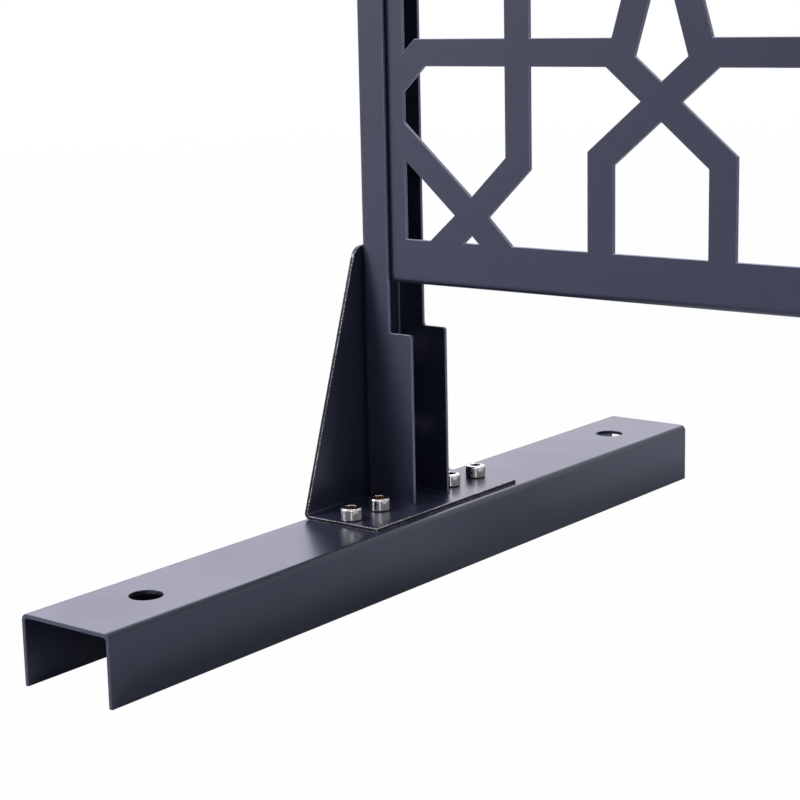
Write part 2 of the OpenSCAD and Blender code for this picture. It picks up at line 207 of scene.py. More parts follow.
def build_world():
    world = bpy.data.worlds.new("white_studio")
    bpy.context.scene.world = world
    tree = blank_tree(world)
    soft, white = (add_step(tree, "ShaderNodeBackground", {"Color": (1, 1, 1, 1), "Strength": strength})
                   for strength in (WORLD_LIGHT, 1))
    mix = add_step(tree, "ShaderNodeMixShader", {0: seen_directly(tree), 1: soft, 2: white})
    add_node(tree, "ShaderNodeOutputWorld", {"Surface": mix})


def build_floor():
    material, tree, place = new_finish("white_floor")
    rays = add_node(tree, "ShaderNodeLightPath").outputs
    paint = add_step(tree, "ShaderNodeBsdfDiffuse",
                     {"Color": blend(tree, rays["Is Glossy Ray"], FLOOR_COLOR, FLOOR_MIRROR_COLOR)})
    white = add_step(tree, "ShaderNodeEmission", {"Color": (1, 1, 1, 1), "Strength": 1})
    reach = add_node(tree, "ShaderNodeVectorMath", {0: place}, operation="LENGTH").outputs["Value"]
    straight = calc(tree, "MULTIPLY", rays["Is Camera Ray"],
                    respan(tree, reach, FLOOR_FADE_M, FLOOR_WHITE_SHARE))
    mirrored = calc(tree, "MULTIPLY", seen_directly(tree), FLOOR_MIRROR_SHARE)
    mix = add_step(tree, "ShaderNodeMixShader",
                   {0: calc(tree, "MAXIMUM", straight, mirrored), 1: paint, 2: white})
    add_node(tree, "ShaderNodeOutputMaterial", {"Surface": mix})
    mesh = bpy.data.meshes.new("studio_floor")
    half = FLOOR_SIDE_M / 2
    mesh.from_pydata([(-half, -half, 0), (half, -half, 0), (half, half, 0), (-half, half, 0)],
                     [], [(0, 1, 2, 3)])
    mesh.materials.append(material)
    floor = placed("studio_floor", mesh)


def add_lamp(name, at, to, size, watts, color):
    data = bpy.data.lights.new(name, "AREA")
    data.shape = "RECTANGLE"
    data.size, data.size_y = size
    data.energy = watts
    data.color = color
    lamp = placed(name, data)
    lamp.location = at
    turn_to(lamp, (Vector(to) - Vector(at)).to_track_quat("-Z", "Y"))


build_world()
build_floor()
for lamp_name, lamp_settings in LAMPS.items():
    add_lamp(lamp_name, **lamp_settings)
bpy.context.scene.view_settings.view_transform = "Standard"
print("lamps:", len(LAMPS))

# %% [markdown]
# ## The powder coat
#
# Every sheet metal piece is coated in one dark blue-grey powder, baked to a semi-gloss skin. Its
# diffuse colour is a dark navy, and the rest of what the eye sees is the white room in the skin's
# gloss: little of it face on, and a lot where the eye looks along the top of the foot.
# The skin is never quite smooth. Powder flows out into a fine orange peel, the gloss varies a little
# from place to place, single grains stay a shade lighter or darker, and a few specks of dust have
# settled. Noise in object coordinates drives the bump, the roughness and the colour.

# %% Mix the powder coat
COAT_GLINT = (0.8, 0.82, 1.0, 1)
COAT_IOR = 1.5
COAT_GLOSS_LEVEL = 0.65
COAT_ROUGHNESS = (0.28, 0.34)
PEEL_SIZE_MM = 0.9
PEEL_DEPTH_MM = 0.015
WAVE_SIZE_MM = 7.0
WAVE_DEPTH_MM = 0.02
CLOUD_SIZE_MM = 45
CLOUD_SPAN = (0.2, 0.8)
GRAIN_SIZE_MM = 0.5
GRAIN_SPAN = (0.35, 0.65)
GRAIN_COLORS = ((0.0108, 0.0131, 0.029, 1), (0.023, 0.0262, 0.051, 1))
DUST_SIZE_MM = 0.9
DUST_SPAN = (0.87, 0.9)
DUST_COLOR = (0.09, 0.09, 0.105, 1)
DUST_DETAIL, EDGE_DETAIL, PLAIN_DETAIL, GRAIN_DETAIL = 0, 1, 2, 3


def noise(tree, place, feature_mm, detail=PLAIN_DETAIL):
    """Noise from 0 to 1, with lumps of about one feature's size."""
    return add_step(tree, "ShaderNodeTexNoise",
                    {"Vector": place, "Scale": 1 / (feature_mm * MM), "Detail": detail})


def bumped(tree, height, depth_mm, **under):
    """A surface direction bent by a height. Normal, if given, is the direction that it starts from."""
    return add_step(tree, "ShaderNodeBump",
                    {"Height": height, "Strength": 1, "Distance": depth_mm * MM, **under})


def make_powder_coat():
    material, tree, place = new_finish("powder_coat")
    grain = respan(tree, noise(tree, place, GRAIN_SIZE_MM, GRAIN_DETAIL), GRAIN_SPAN)
    dust = respan(tree, noise(tree, place, DUST_SIZE_MM, DUST_DETAIL), DUST_SPAN)
    color = blend(tree, dust, blend(tree, grain, *GRAIN_COLORS), DUST_COLOR)
    rough = respan(tree, noise(tree, place, CLOUD_SIZE_MM), CLOUD_SPAN, COAT_ROUGHNESS,
                   interpolation_type="SMOOTHSTEP")
    fine = bumped(tree, noise(tree, place, PEEL_SIZE_MM), PEEL_DEPTH_MM)
    wavy = bumped(tree, noise(tree, place, WAVE_SIZE_MM), WAVE_DEPTH_MM, Normal=fine)
    skin = add_step(tree, "ShaderNodeBsdfPrincipled",
                    {"Base Color": color, "Roughness": rough, "IOR": COAT_IOR, "Normal": wavy,
                     "Specular IOR Level": COAT_GLOSS_LEVEL, "Specular Tint": COAT_GLINT})
    add_node(tree, "ShaderNodeOutputMaterial", {"Surface": skin})
    return material


powder_coat = make_powder_coat()
print("finish:", powder_coat.name)

# %% [markdown]
# ## Cut edges
#
# The coat draws back from a sharp edge, so it is thinner and lighter there. On the posts and panels
# the rounds and cut faces are painted much lighter still: a painted highlight for the thin bright
# lines along their edges. The bracket's edges are rougher: grains of bare metal show along the arris,
# and here and there a speck of rust has started. Its cut faces are near black, partly the laser's
# dark scale and partly painted shade for the gap under the plate.

# %% Mix the edges
THIN_COAT_COLORS = ((0.03, 0.033, 0.058, 1), (0.05, 0.052, 0.08, 1))
# Painted highlight: these light colours on the posts' and panels' edges stand in for the bright lines
# that light draws along them.
HIGHLIGHT_EDGE_COLORS = ((0.11, 0.118, 0.175, 1), (0.2, 0.21, 0.29, 1))
BARE_METAL_COLOR = (0.72, 0.7, 0.74, 1)
DULL_METAL_COLOR = (0.42, 0.41, 0.47, 1)
# Near black: partly the laser's scale, partly painted shade for the dark gap under the bracket's plate.
SCALE_AND_SHADE_COLOR = (0.006, 0.007, 0.01, 1)
EDGE_ROUGHNESS = 0.32
EDGE_GRAIN_MM = 0.7
EDGE_PATCH_MM = 26
SOFT_SPAN = (0.3, 0.7)
EVERYWHERE = (-1, 0)
NOWHERE = (1, 2)
BARE_SPANS = {"grain_span": (0.42, 0.58), "patch_span": (0.25, 0.55), "rust_span": (0.7, 0.74)}
SCALE_AND_SHADE_SPANS = {"grain_span": (0.62, 0.74), "patch_span": (0.42, 0.7)}
SCALE_AND_SHADE_GLOSS_LEVEL = 0.12
RUST_COLOR = (0.3, 0.1, 0.03, 1)
RUST_SIZE_MM = 9


def make_edge(name, ground_color, grain_color, grain_span=SOFT_SPAN, patch_span=EVERYWHERE,
              rust_span=NOWHERE, gloss=COAT_GLOSS_LEVEL):
    """An edge where grains of one colour show through another, in patches, with or without rust."""
    material, tree, place = new_finish(name)

    def above(feature_mm, span):
        """0 where the noise is below a span, 1 where it is above it."""
        return respan(tree, noise(tree, place, feature_mm, EDGE_DETAIL), span)

    grains = above(EDGE_GRAIN_MM, grain_span)
    in_patches = calc(tree, "MULTIPLY", grains, above(EDGE_PATCH_MM, patch_span))
    rust = calc(tree, "MULTIPLY", above(RUST_SIZE_MM, rust_span), grains)
    color = blend(tree, rust, blend(tree, in_patches, ground_color, grain_color), RUST_COLOR)
    skin = add_step(tree, "ShaderNodeBsdfPrincipled",
                    {"Base Color": color, "Roughness": EDGE_ROUGHNESS, "IOR": COAT_IOR,
                     "Specular IOR Level": gloss, "Specular Tint": COAT_GLINT})
    add_node(tree, "ShaderNodeOutputMaterial", {"Surface": skin})
    return material


coat_edge = make_edge("thin_coat_edge", *THIN_COAT_COLORS)
# The posts' and panels' edges: a painted highlight, much lighter than the coat.
highlight_edge = make_edge("painted_highlight_edge", *HIGHLIGHT_EDGE_COLORS)
bare_edge = make_edge("bare_arris", THIN_COAT_COLORS[0], BARE_METAL_COLOR, **BARE_SPANS)
# The bracket's cut faces: laser scale and painted shade, near black with little gloss.
cut_face = make_edge("laser_scale_and_painted_shade", SCALE_AND_SHADE_COLOR, DULL_METAL_COLOR, gloss=SCALE_AND_SHADE_GLOSS_LEVEL,
                     **SCALE_AND_SHADE_SPANS)
print("edges:", [edge.name for edge in (coat_edge, highlight_edge, bare_edge, cut_face)])

# %% [markdown]
# ## Bright steel and zinc
#
# The screws are turned from stainless steel and left bright. The cutter leaves fine rings round
# their axis, which draw each reflection out into a band along the axis. Nuts and blind inserts are
# zinc-plated, which is duller and a little mottled. The rings are noise that is stretched out across
# the axis, so that it changes only along it. The screws' sockets keep a brown film of oil, so they get
# a darker metal of their own. The groove under each head gets a near-black metal: painted shade for
# the dark seam where the head sits down.

# %% Make the metals
MOTTLE_SPAN = (0.3, 0.7)
METAL_STYLES = {
    "bright_steel": {"color": (0.57, 0.555, 0.55, 1), "roughness": (0.07, 0.14), "mottle_mm": 1.5},
    "zinc_plate": {"color": (0.58, 0.59, 0.61, 1), "roughness": (0.3, 0.5), "mottle_mm": 2.5},
}
STAIN_AND_SHADE_STYLE = {"roughness": (0.38, 0.5), "mottle_mm": 0.8}
SOCKET_STAIN_COLOR = (0.24, 0.12, 0.055, 1)
# Painted shade: a near-black for the dark seam in the groove under each screw head.
SEAT_SHADE_COLOR = (0.02, 0.018, 0.017, 1)
RING_WIDTH_MM = 0.12
RING_LENGTH_MM = 40
RING_DEPTH_MM = 0.0035


def make_metal(name, axis, color, roughness, mottle_mm):
    material, tree, place = new_finish(name)
    rough = respan(tree, noise(tree, place, mottle_mm), MOTTLE_SPAN, roughness)
    stretch = [RING_WIDTH_MM / RING_LENGTH_MM] * 3
    stretch["xyz".index(axis)] = 1
    stretched = add_step(tree, "ShaderNodeVectorMath", {0: place, 1: stretch}, operation="MULTIPLY")
    rings = bumped(tree, noise(tree, stretched, RING_WIDTH_MM), RING_DEPTH_MM)
    skin = add_step(tree, "ShaderNodeBsdfPrincipled",
                    {"Base Color": color, "Metallic": 1, "Roughness": rough, "Normal": rings})
    add_node(tree, "ShaderNodeOutputMaterial", {"Surface": skin})
    return material


metals = {(kind, axis): make_metal(kind + "_" + axis, axis, **style)
          for kind, style in METAL_STYLES.items() for axis in "xz"}
socket_stain = make_metal("stained_socket", "z", SOCKET_STAIN_COLOR, **STAIN_AND_SHADE_STYLE)
# Painted shade under the head, in a near-black metal.
seat_painted_shade = make_metal("seat_painted_shade", "z", SEAT_SHADE_COLOR, **STAIN_AND_SHADE_STYLE)
print("metals:", len(metals), "and", socket_stain.name, seat_painted_shade.name)

# %% [markdown]
# ## Dressed sheet metal
#
# A laser leaves a square edge, and the coat rounds it by a fraction of a millimetre. That tiny
# round catches the light as a thin bright line, so it has to be real geometry. A copy of each
# solid is merged, its flat faces are joined, and a bevel rounds only the sharp edges. The narrow
# faces between two sharp edges are the cut ones: they and the rounds get the edge materials.

# %% Dress the sheets
EDGE_ROUND_MM = 0.28
BRACKET_ROUND_MM = 0.32
CUT_FACE_W_MM = 2
SHARP_SHARE = 0.6
EDGE_SEGMENTS = 2
SHARP_DEG = 35
FLAT_DEG = 0.4
MERGE_MM = 0.001
# The posts' and panels' edges get the painted highlight; the bracket's cut faces get scale and painted
# shade.
SHEET_STYLES = {
    "foot": (EDGE_ROUND_MM, (coat_edge,)),
    "post": (EDGE_ROUND_MM, (highlight_edge,)),
    "bracket": (BRACKET_ROUND_MM, (bare_edge, cut_face)),
}


def joined(mesh, cut_index):
    """The mesh with its loose triangles joined into whole faces, and its cut faces marked."""
    solid = bmesh.new()
    solid.from_mesh(mesh)
    bmesh.ops.remove_doubles(solid, verts=solid.verts, dist=MERGE_MM * MM)
    bmesh.ops.dissolve_limit(solid, verts=solid.verts, edges=solid.edges,
                             angle_limit=math.radians(FLAT_DEG))
    for face in solid.faces:
        around = face.calc_perimeter()
        sharp = sum(edge.calc_length() for edge in face.edges
                    if edge.calc_face_angle(0) > math.radians(SHARP_DEG))
        is_cut = 2 * face.calc_area() / around < CUT_FACE_W_MM * MM and sharp > around * SHARP_SHARE
        face.material_index = cut_index if is_cut else 0
    solid.to_mesh(mesh)
    solid.free()
    return mesh


def baked(piece):
    """The plain mesh that a piece's modifiers give. The piece itself goes."""
    bpy.context.view_layer.update()
    graph = bpy.context.evaluated_depsgraph_get()
    mesh = bpy.data.meshes.new_from_object(piece.evaluated_get(graph), depsgraph=graph)
    bpy.data.objects.remove(piece)
    return mesh


def finished(piece, name, node):
    """Turns a piece with live modifiers into a plain mesh that stands for a CAD node."""
    mesh = baked(piece)
    mesh.name = name
    final = placed(name, mesh)
    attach(final, BODY)
    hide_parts(node)
    return final


def dressed_sheet(node, mesh, round_mm, edges):
    mesh.materials.clear()
    for finish in (powder_coat, *edges):
        mesh.materials.append(finish)
    mesh = joined(mesh, cut_index=len(edges))
    mesh.shade_smooth()
    piece = placed(node + "_raw", mesh)
    edge = piece.modifiers.new("edge", "BEVEL")
    edge.width = round_mm * MM
    edge.material = 1
    edge.segments = EDGE_SEGMENTS
    edge.limit_method = "ANGLE"
    edge.angle_limit = math.radians(SHARP_DEG)
    edge.use_clamp_overlap = False
    flat = piece.modifiers.new("flat", "WEIGHTED_NORMAL")
    flat.keep_sharp = True
    return finished(piece, node + "_sheet", node)


for kind, style in SHEET_STYLES.items():
    for side in ("left", "right"):
        node_name = kind + "_" + side
        sheet = dressed_sheet(node_name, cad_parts[node_name].data.copy(), *style)
        print(sheet.name, "faces:", len(sheet.data.polygons))

# %% [markdown]
# ## The pattern
#
# The lattice follows one rule: rings and eight-pointed stars take turns on a grid of half cells, and
# houses, arrows, shields, kites and leaves fill the space between them. Each opening is drawn
# through the middles of the bars round it, as shares of half a cell. Then half a bar is taken off
# on every side, so all bars come out equally wide, and the uprights a little wider than the rest.

# %% Draw the openings of one tile
PANEL_W, PANEL_H, PANEL_DEPTH, PANEL_T = 1200, 600, 20, 1.8
CELLS_ACROSS, CELLS_UP = 4, 2
LEVEL_BAR_W, UPRIGHT_BAR_W = 12, 12.9
FIRST_COLUMN_IN, FIRST_ROW_IN = 5.3, 32.5
HALF_CELL = ((PANEL_W - 2 * FIRST_COLUMN_IN) / (2 * CELLS_ACROSS),
             (PANEL_H - 2 * FIRST_ROW_IN) / (2 * CELLS_UP))
RING_X, RING_Z = 0.359, 0.35
BAR_X, BAR_Z = 0.525, 0.533
TURN_X, TURN_Z = 0.174, 0.179
HOUSE, EAVE, PEAK, RAY = 0.806, 0.206, 0.385, 0.8745
ROOF_SLOPE = (PEAK - EAVE) / (1 - HOUSE)
RAY_SLOPE = (1 - BAR_Z) / (1 - RAY)
WING, TALL_WING = 1 - (BAR_Z - PEAK) / ROOF_SLOPE, 1 - (BAR_X - PEAK) / ROOF_SLOPE
KITE = (1 - PEAK) / (ROOF_SLOPE + RAY_SLOPE)
KITE_DROP = KITE * RAY_SLOPE


def flipped(outline, x, z):
    return [(a * x, b * z) for a, b in outline]


def swapped(outline):
    return [(b, a) for a, b in outline]


def both_sides(half, x, z):
    """A half outline, and its mirror image on the way back."""
    return half + flipped(half, x, z)[::-1]


RING = [(RING_X, 0), (0, RING_Z), (-RING_X, 0), (0, -RING_Z)]
SHIELD = [(0, RING_Z), (TURN_X, BAR_Z), (BAR_X, BAR_Z), (BAR_X, TURN_Z), (RING_X, 0)]
SIDE_ARROW = [(RING_X, 0)] + both_sides(
    [(BAR_X, TURN_Z), (BAR_X, BAR_Z), (WING, BAR_Z), (1, PEAK), (HOUSE, EAVE)], 1, -1)
TOP_ARROW = [(0, RING_Z)] + both_sides(
    [(TURN_X, BAR_Z), (BAR_X, BAR_Z), (BAR_X, TALL_WING), (PEAK, 1), (EAVE, HOUSE)], -1, 1)
HOUSE_HALF = [(0, PEAK), (1 - HOUSE, EAVE), (1 - HOUSE, -EAVE), (0, -PEAK)]
HOUSE_SHAPE = HOUSE_HALF + flipped(HOUSE_HALF, -1, 1)[2:0:-1]
KITE_SHAPE = [(0, 0), (KITE, KITE_DROP), (0, 1 - PEAK), (-KITE, KITE_DROP)]
LEAF = [(0, 0), (1 - RAY, 1 - BAR_Z), (1 - BAR_X, 1 - BAR_Z), (1 - BAR_X, 1 - RAY)]
ALL_SIDES = [(1, 1), (-1, 1), (1, -1), (-1, -1)]
BOTH_WAYS = (1, -1)
ROUND_RING = [RING] + [flipped(SIDE_ARROW, x, 1) for x in BOTH_WAYS]
ROUND_RING += [flipped(TOP_ARROW, 1, z) for z in BOTH_WAYS]
ROUND_RING += [flipped(SHIELD, x, z) for x, z in ALL_SIDES]
ROUND_STAR = [flipped(KITE_SHAPE, 1, z) for z in BOTH_WAYS]
ROUND_STAR += [flipped(swapped(KITE_SHAPE), x, 1) for x in BOTH_WAYS]
ROUND_STAR += [flipped(LEAF, x, z) for x, z in ALL_SIDES]
TILE = {(0, 0): ROUND_RING, (1, 1): ROUND_STAR, (1, 0): [HOUSE_SHAPE], (0, 1): [swapped(HOUSE_SHAPE)]}


def meeting(a, u, b, v):
    """Where the line through a along u meets the line through b along v."""
    return a + u * ((b - a).cross(v) / u.cross(v))


def drawn_in(outline, width):
    """An outline moved in by the same width on every side."""
    corners = [Vector(corner) for corner in outline]
    area = sum(a.cross(b) for a, b in zip(corners, corners[1:] + corners[:1]))
    if area < 0:
        corners.reverse()
    result = []
    for before, corner, after in zip(corners[-1:] + corners[:-1], corners, corners[1:] + corners[:1]):
        u, v = (corner - before).normalized(), (after - corner).normalized()
        result.append(meeting(corner + u.orthogonal() * width, u, corner + v.orthogonal() * width, v))
    return result


def tile_openings():
    """The openings of one tile in mm, the middle of its ring at the origin."""
    stretch = UPRIGHT_BAR_W / LEVEL_BAR_W
    step_x, step_z = HALF_CELL[0] / stretch, HALF_CELL[1]
    outlines = []
    for (column, row), shapes in TILE.items():
        for shape in shapes:
            places = [((a + column) * step_x, (b + row) * step_z) for a, b in shape]
            outlines.append([(x * stretch, z) for x, z in drawn_in(places, LEVEL_BAR_W / 2)])
    return outlines


tile = tile_openings()
print("openings in a tile:", len(tile), "half cell in mm:", [round(side, 2) for side in HALF_CELL])

# %% [markdown]
# ## Panels cut from one tile
#
# A laser repeats the same cuts over the whole sheet, so a node tree does it too. It fills the
# tile's outlines, draws them out into plugs and sets a copy of them on every point of a grid. What
# lies in the plain border is cut off the plugs, and the rest is cut out of the sheet. The sheet is
# a shallow pan: two wide channels that cross, one folded at the sides and one at top and bottom.
# The tree works lying down, with the depth of the pan below its face, and stands the pan up last.

# %% Build the cut panel tree
BORDER_SIDE_W, BORDER_END_W = 22, 20.5
INSERT_HOLE_D, INSERT_HOLE_IN, INSERT_HOLE_DEPTH = 9.1, 60, 11.5
FOLD_R, FOLD_STEPS, HOLE_STEPS = 1.2, 8, 48
PLUG_SHARE_BELOW = 0.75
DRILL_REACH = 1.1
INSERTS_PER_SIDE = 3


def curve_object(name, outlines):
    """Closed outlines in mm, as one flat curve."""
    curve = bpy.data.curves.new(name, "CURVE")
    curve.dimensions = "3D"
    for outline in outlines:
        spline = curve.splines.new("POLY")
        spline.points.add(len(outline) - 1)
        spline.use_cyclic_u = True
        for point, (x, y) in zip(spline.points, outline):
            point.co = (x * MM, y * MM, 0, 1)
    return placed(name, curve)


def rounded_outline(corners):
    """An outline of (x, y, radius) corners, with an arc at each corner that has a radius."""
    points = []
    for before, corner, after in zip(corners[-1:] + corners[:-1], corners, corners[1:] + corners[:1]):
        at, radius = Vector(corner[:2]), corner[2]
        u, v = (at - Vector(before[:2])).normalized(), (Vector(after[:2]) - at).normalized()
        side = math.copysign(1, u.cross(v))
        centre = at - u * radius + u.orthogonal() * radius * side
        for i in range(FOLD_STEPS + 1 if radius else 1):
            turn = math.pi / 2 * i / FOLD_STEPS
            points.append(centre + (u * math.sin(turn) - u.orthogonal() * side * math.cos(turn)) * radius)
    return points


def channel_outline(width):
    """The section of a shallow channel: x across it, y into its depth."""
    outer = FOLD_R + PANEL_T
    return rounded_outline([
        (0, 0, outer), (width, 0, outer), (width, PANEL_DEPTH, 0), (width - PANEL_T, PANEL_DEPTH, 0),
        (width - PANEL_T, PANEL_T, FOLD_R), (PANEL_T, PANEL_T, FOLD_R), (PANEL_T, PANEL_DEPTH, 0),
        (0, PANEL_DEPTH, 0)])


def group_with(name, inputs):
    """A new node group that takes named inputs, by kind of socket, and gives a geometry."""
    tree = bpy.data.node_groups.new(name, "GeometryNodeTree")
    for kind, names in inputs.items():
        for one in names:
            tree.interface.new_socket(one, in_out="INPUT", socket_type="NodeSocket" + kind)
    tree.interface.new_socket("Geometry", in_out="OUTPUT", socket_type="NodeSocketGeometry")
    return tree, tree.nodes.new("NodeGroupInput").outputs


def build_panel_tree():
    tree, given = group_with("Cut panel", {
        "Geometry": ["Geometry"], "Object": ["Openings", "Side Channel", "End Channel"],
        "Int": ["Columns", "Rows"],
        "Float": ["Width", "Height", "Corner", "Plug Length", "Column Step", "Row Step",
                  "First Column In", "First Row In", "Side Border", "End Border", "Hole Radius",
                  "Hole In", "Hole Depth"],
        "Vector": ["Stand Up"], "Material": ["Material"]})
    step, number = partial(add_step, tree), partial(calc, tree)

    def half(name):
        return number("MULTIPLY", given[name], 0.5)

    def vector(x, y, z):
        return step("ShaderNodeCombineXYZ", {0: x, 1: y, 2: z})

    def merged(geometry):
        return step("GeometryNodeMergeByDistance", {"Geometry": geometry, "Distance": MERGE_MM * MM})

    def plugs(outlines, length):
        """Closed prisms that rise from flat outlines."""
        curve = add_node(tree, "GeometryNodeObjectInfo", {"Object": outlines}).outputs["Geometry"]
        flat = step("GeometryNodeFillCurve", {"Curve": curve}, mode="NGONS")
        walls = step("GeometryNodeExtrudeMesh",
                     {"Mesh": flat, "Offset": (0, 0, 1), "Offset Scale": length, "Individual": False})
        whole = add_node(tree, "GeometryNodeJoinGeometry", {"Geometry": walls})
        tree.links.new(step("GeometryNodeFlipFaces", {"Mesh": flat}), whole.inputs[0])
        return merged(whole.outputs[0])

    def moved(geometry, place, turn=(0, 0, 0)):
        return step("GeometryNodeTransform",
                    {"Geometry": geometry, "Translation": place, "Rotation": turn})

    def copied(points, piece, turn=(0, 0, 0)):
        """A copy of a piece on each point."""
        copies = step("GeometryNodeInstanceOnPoints",
                      {"Points": points, "Instance": piece, "Rotation": turn})
        return step("GeometryNodeRealizeInstances", {"Geometry": copies})

    def boolean(operation, pieces, whole=None):
        node = add_node(tree, "GeometryNodeMeshBoolean", operation=operation, solver="EXACT")
        if whole is not None:
            tree.links.new(whole, node.inputs["Mesh 1"])
        for piece in pieces:
            tree.links.new(piece, node.inputs["Mesh 2"])
        return node.outputs["Mesh"]

    doubled = number("MULTIPLY", given["Corner"], -2)
    across = Matrix(((1, 0, 0), (0, 0, 1), (0, -1, 0))).to_euler()
    upward = Matrix(((0, 0, -1), (1, 0, 0), (0, -1, 0))).to_euler()
    sides = moved(plugs(given["Side Channel"], number("ADD", given["Height"], doubled)),
                  vector(0, given["Corner"], 0), tuple(across))
    ends = moved(plugs(given["End Channel"], number("ADD", given["Width"], doubled)),
                 vector(number("SUBTRACT", given["Width"], given["Corner"]), 0, 0), tuple(upward))
    pan = boolean("UNION", [sides, ends])

    columns, rows = (number("ADD", given[name], 1) for name in ("Columns", "Rows"))
    span_x = number("MULTIPLY", given["Columns"], given["Column Step"])
    span_y = number("MULTIPLY", given["Rows"], given["Row Step"])
    grid = step("GeometryNodeMeshGrid",
                {"Size X": span_x, "Size Y": span_y, "Vertices X": columns, "Vertices Y": rows})
    grid = moved(grid, vector(number("ADD", number("MULTIPLY", span_x, 0.5), given["First Column In"]),
                              number("ADD", number("MULTIPLY", span_y, 0.5), given["First Row In"]), 0))
    all_plugs = copied(grid, plugs(given["Openings"], given["Plug Length"]))
    inner_w, inner_h = (number("SUBTRACT", given[whole], number("MULTIPLY", given[border], 2))
                        for whole, border in (("Width", "Side Border"), ("Height", "End Border")))
    inner = step("GeometryNodeMeshCube", {"Size": vector(inner_w, inner_h, given["Plug Length"])})
    middle = vector(half("Width"), half("Height"), half("Plug Length"))
    kept = boolean("INTERSECT", [all_plugs, moved(inner, middle)])
    drop = number("MULTIPLY", given["Plug Length"], -PLUG_SHARE_BELOW)
    cut = boolean("DIFFERENCE", [moved(kept, vector(0, 0, drop))], pan)

    drill = step("GeometryNodeMeshCylinder",
                 {"Vertices": HOLE_STEPS, "Radius": given["Hole Radius"],
                  "Depth": number("MULTIPLY", given["Width"], DRILL_REACH)})
    apart = number("SUBTRACT", half("Height"), given["Hole In"])
    places = step("GeometryNodeMeshLine",
                  {"Count": INSERTS_PER_SIDE, "Offset": vector(0, apart, 0),
                   "Start Location": vector(half("Width"), given["Hole In"],
                                            number("MULTIPLY", given["Hole Depth"], -1))})
    drilled = boolean("DIFFERENCE", [copied(places, drill, (0, math.pi / 2, 0))], cut)
    smooth = step("GeometryNodeSetShadeSmooth", {"Geometry": drilled, "Shade Smooth": True})
    stood = merged(copied(given["Geometry"], smooth, given["Stand Up"]))
    coated = step("GeometryNodeSetMaterial", {"Geometry": stood, "Material": given["Material"]})
    add_node(tree, "NodeGroupOutput", {"Geometry": coated})
    return tree


panel_tree = build_panel_tree()
print("tree:", panel_tree.name, "with", len(panel_tree.nodes), "nodes")

# %% [markdown]
# ## Cut the panels
#
# Each CAD panel tells where its lower left front corner is. That one point goes into the tree, and
# the cut panel comes out on it. Then its edges are dressed as those of the folded pieces.

# %% Cut the panels
PANEL_NODES = ["panel_lower", "panel_middle", "panel_upper"]
PLUG_LENGTH = 4 * PANEL_T
panel_curves = {"Openings": curve_object("tile_openings", tile),
                "Side Channel": curve_object("side_channel", [channel_outline(PANEL_W)]),
                "End Channel": curve_object("end_channel", [channel_outline(PANEL_H)])}
PANEL_SIZES_MM = {
    "Width": PANEL_W, "Height": PANEL_H, "Corner": FOLD_R + PANEL_T, "Plug Length": PLUG_LENGTH,
    "Column Step": 2 * HALF_CELL[0], "Row Step": 2 * HALF_CELL[1],
    "First Column In": FIRST_COLUMN_IN, "First Row In": FIRST_ROW_IN,
    "Side Border": BORDER_SIDE_W, "End Border": BORDER_END_W,
    "Hole Radius": INSERT_HOLE_D / 2, "Hole In": INSERT_HOLE_IN, "Hole Depth": INSERT_HOLE_DEPTH,
}


def fill_inputs(modifier, tree, values):
    """Sets a modifier's node tree and its named inputs, before the object is first evaluated."""
    modifier.node_group = tree
    for socket in tree.interface.items_tree:
        if socket.in_out == "INPUT" and socket.name in values:
            modifier[socket.identifier] = values[socket.name]


def points_object(name, points):
    mesh = bpy.data.meshes.new(name)
    mesh.from_pydata(points, [], [])
    return placed(name, mesh)


def cut_panel(node):
    corners = [corner.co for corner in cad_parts[node].data.vertices]
    low_corner = [min(corner[i] for corner in corners) for i in range(3)]
    piece = points_object(node + "_corner", [low_corner])
    values = dict(panel_curves, Columns=CELLS_ACROSS, Rows=CELLS_UP, Material=powder_coat)
    values["Stand Up"] = (math.pi / 2, 0, 0)
    values.update({name: size * MM for name, size in PANEL_SIZES_MM.items()})
    fill_inputs(piece.modifiers.new("laser", "NODES"), panel_tree, values)
    return baked(piece)


for node_name in PANEL_NODES:
    # The panels' edges get the painted highlight too.
    sheet = dressed_sheet(node_name, cut_panel(node_name), EDGE_ROUND_MM, (highlight_edge,))
    print(sheet.name, "faces:", len(sheet.data.polygons))
for curve_piece in panel_curves.values():
    bpy.data.objects.remove(curve_piece)

# %% [markdown]
# ## Turned pieces
#
# A lathe makes screws, nuts and inserts, and one node tree does the same. It sweeps half a section
# round the axis, then moves each point by rule: out to a hexagon where a wrench or key goes, in
# along the knurl's flutes, and in along the thread's helix. Copies of the result stand on points,
# one for each solid of the CAD node, so each fastener sits exactly where the assembly needs it.

# %% Build the turned piece tree
STEPS_ROUND = 48
HEX_SIDES = 6
SWEEP_RADIUS_MM = 10


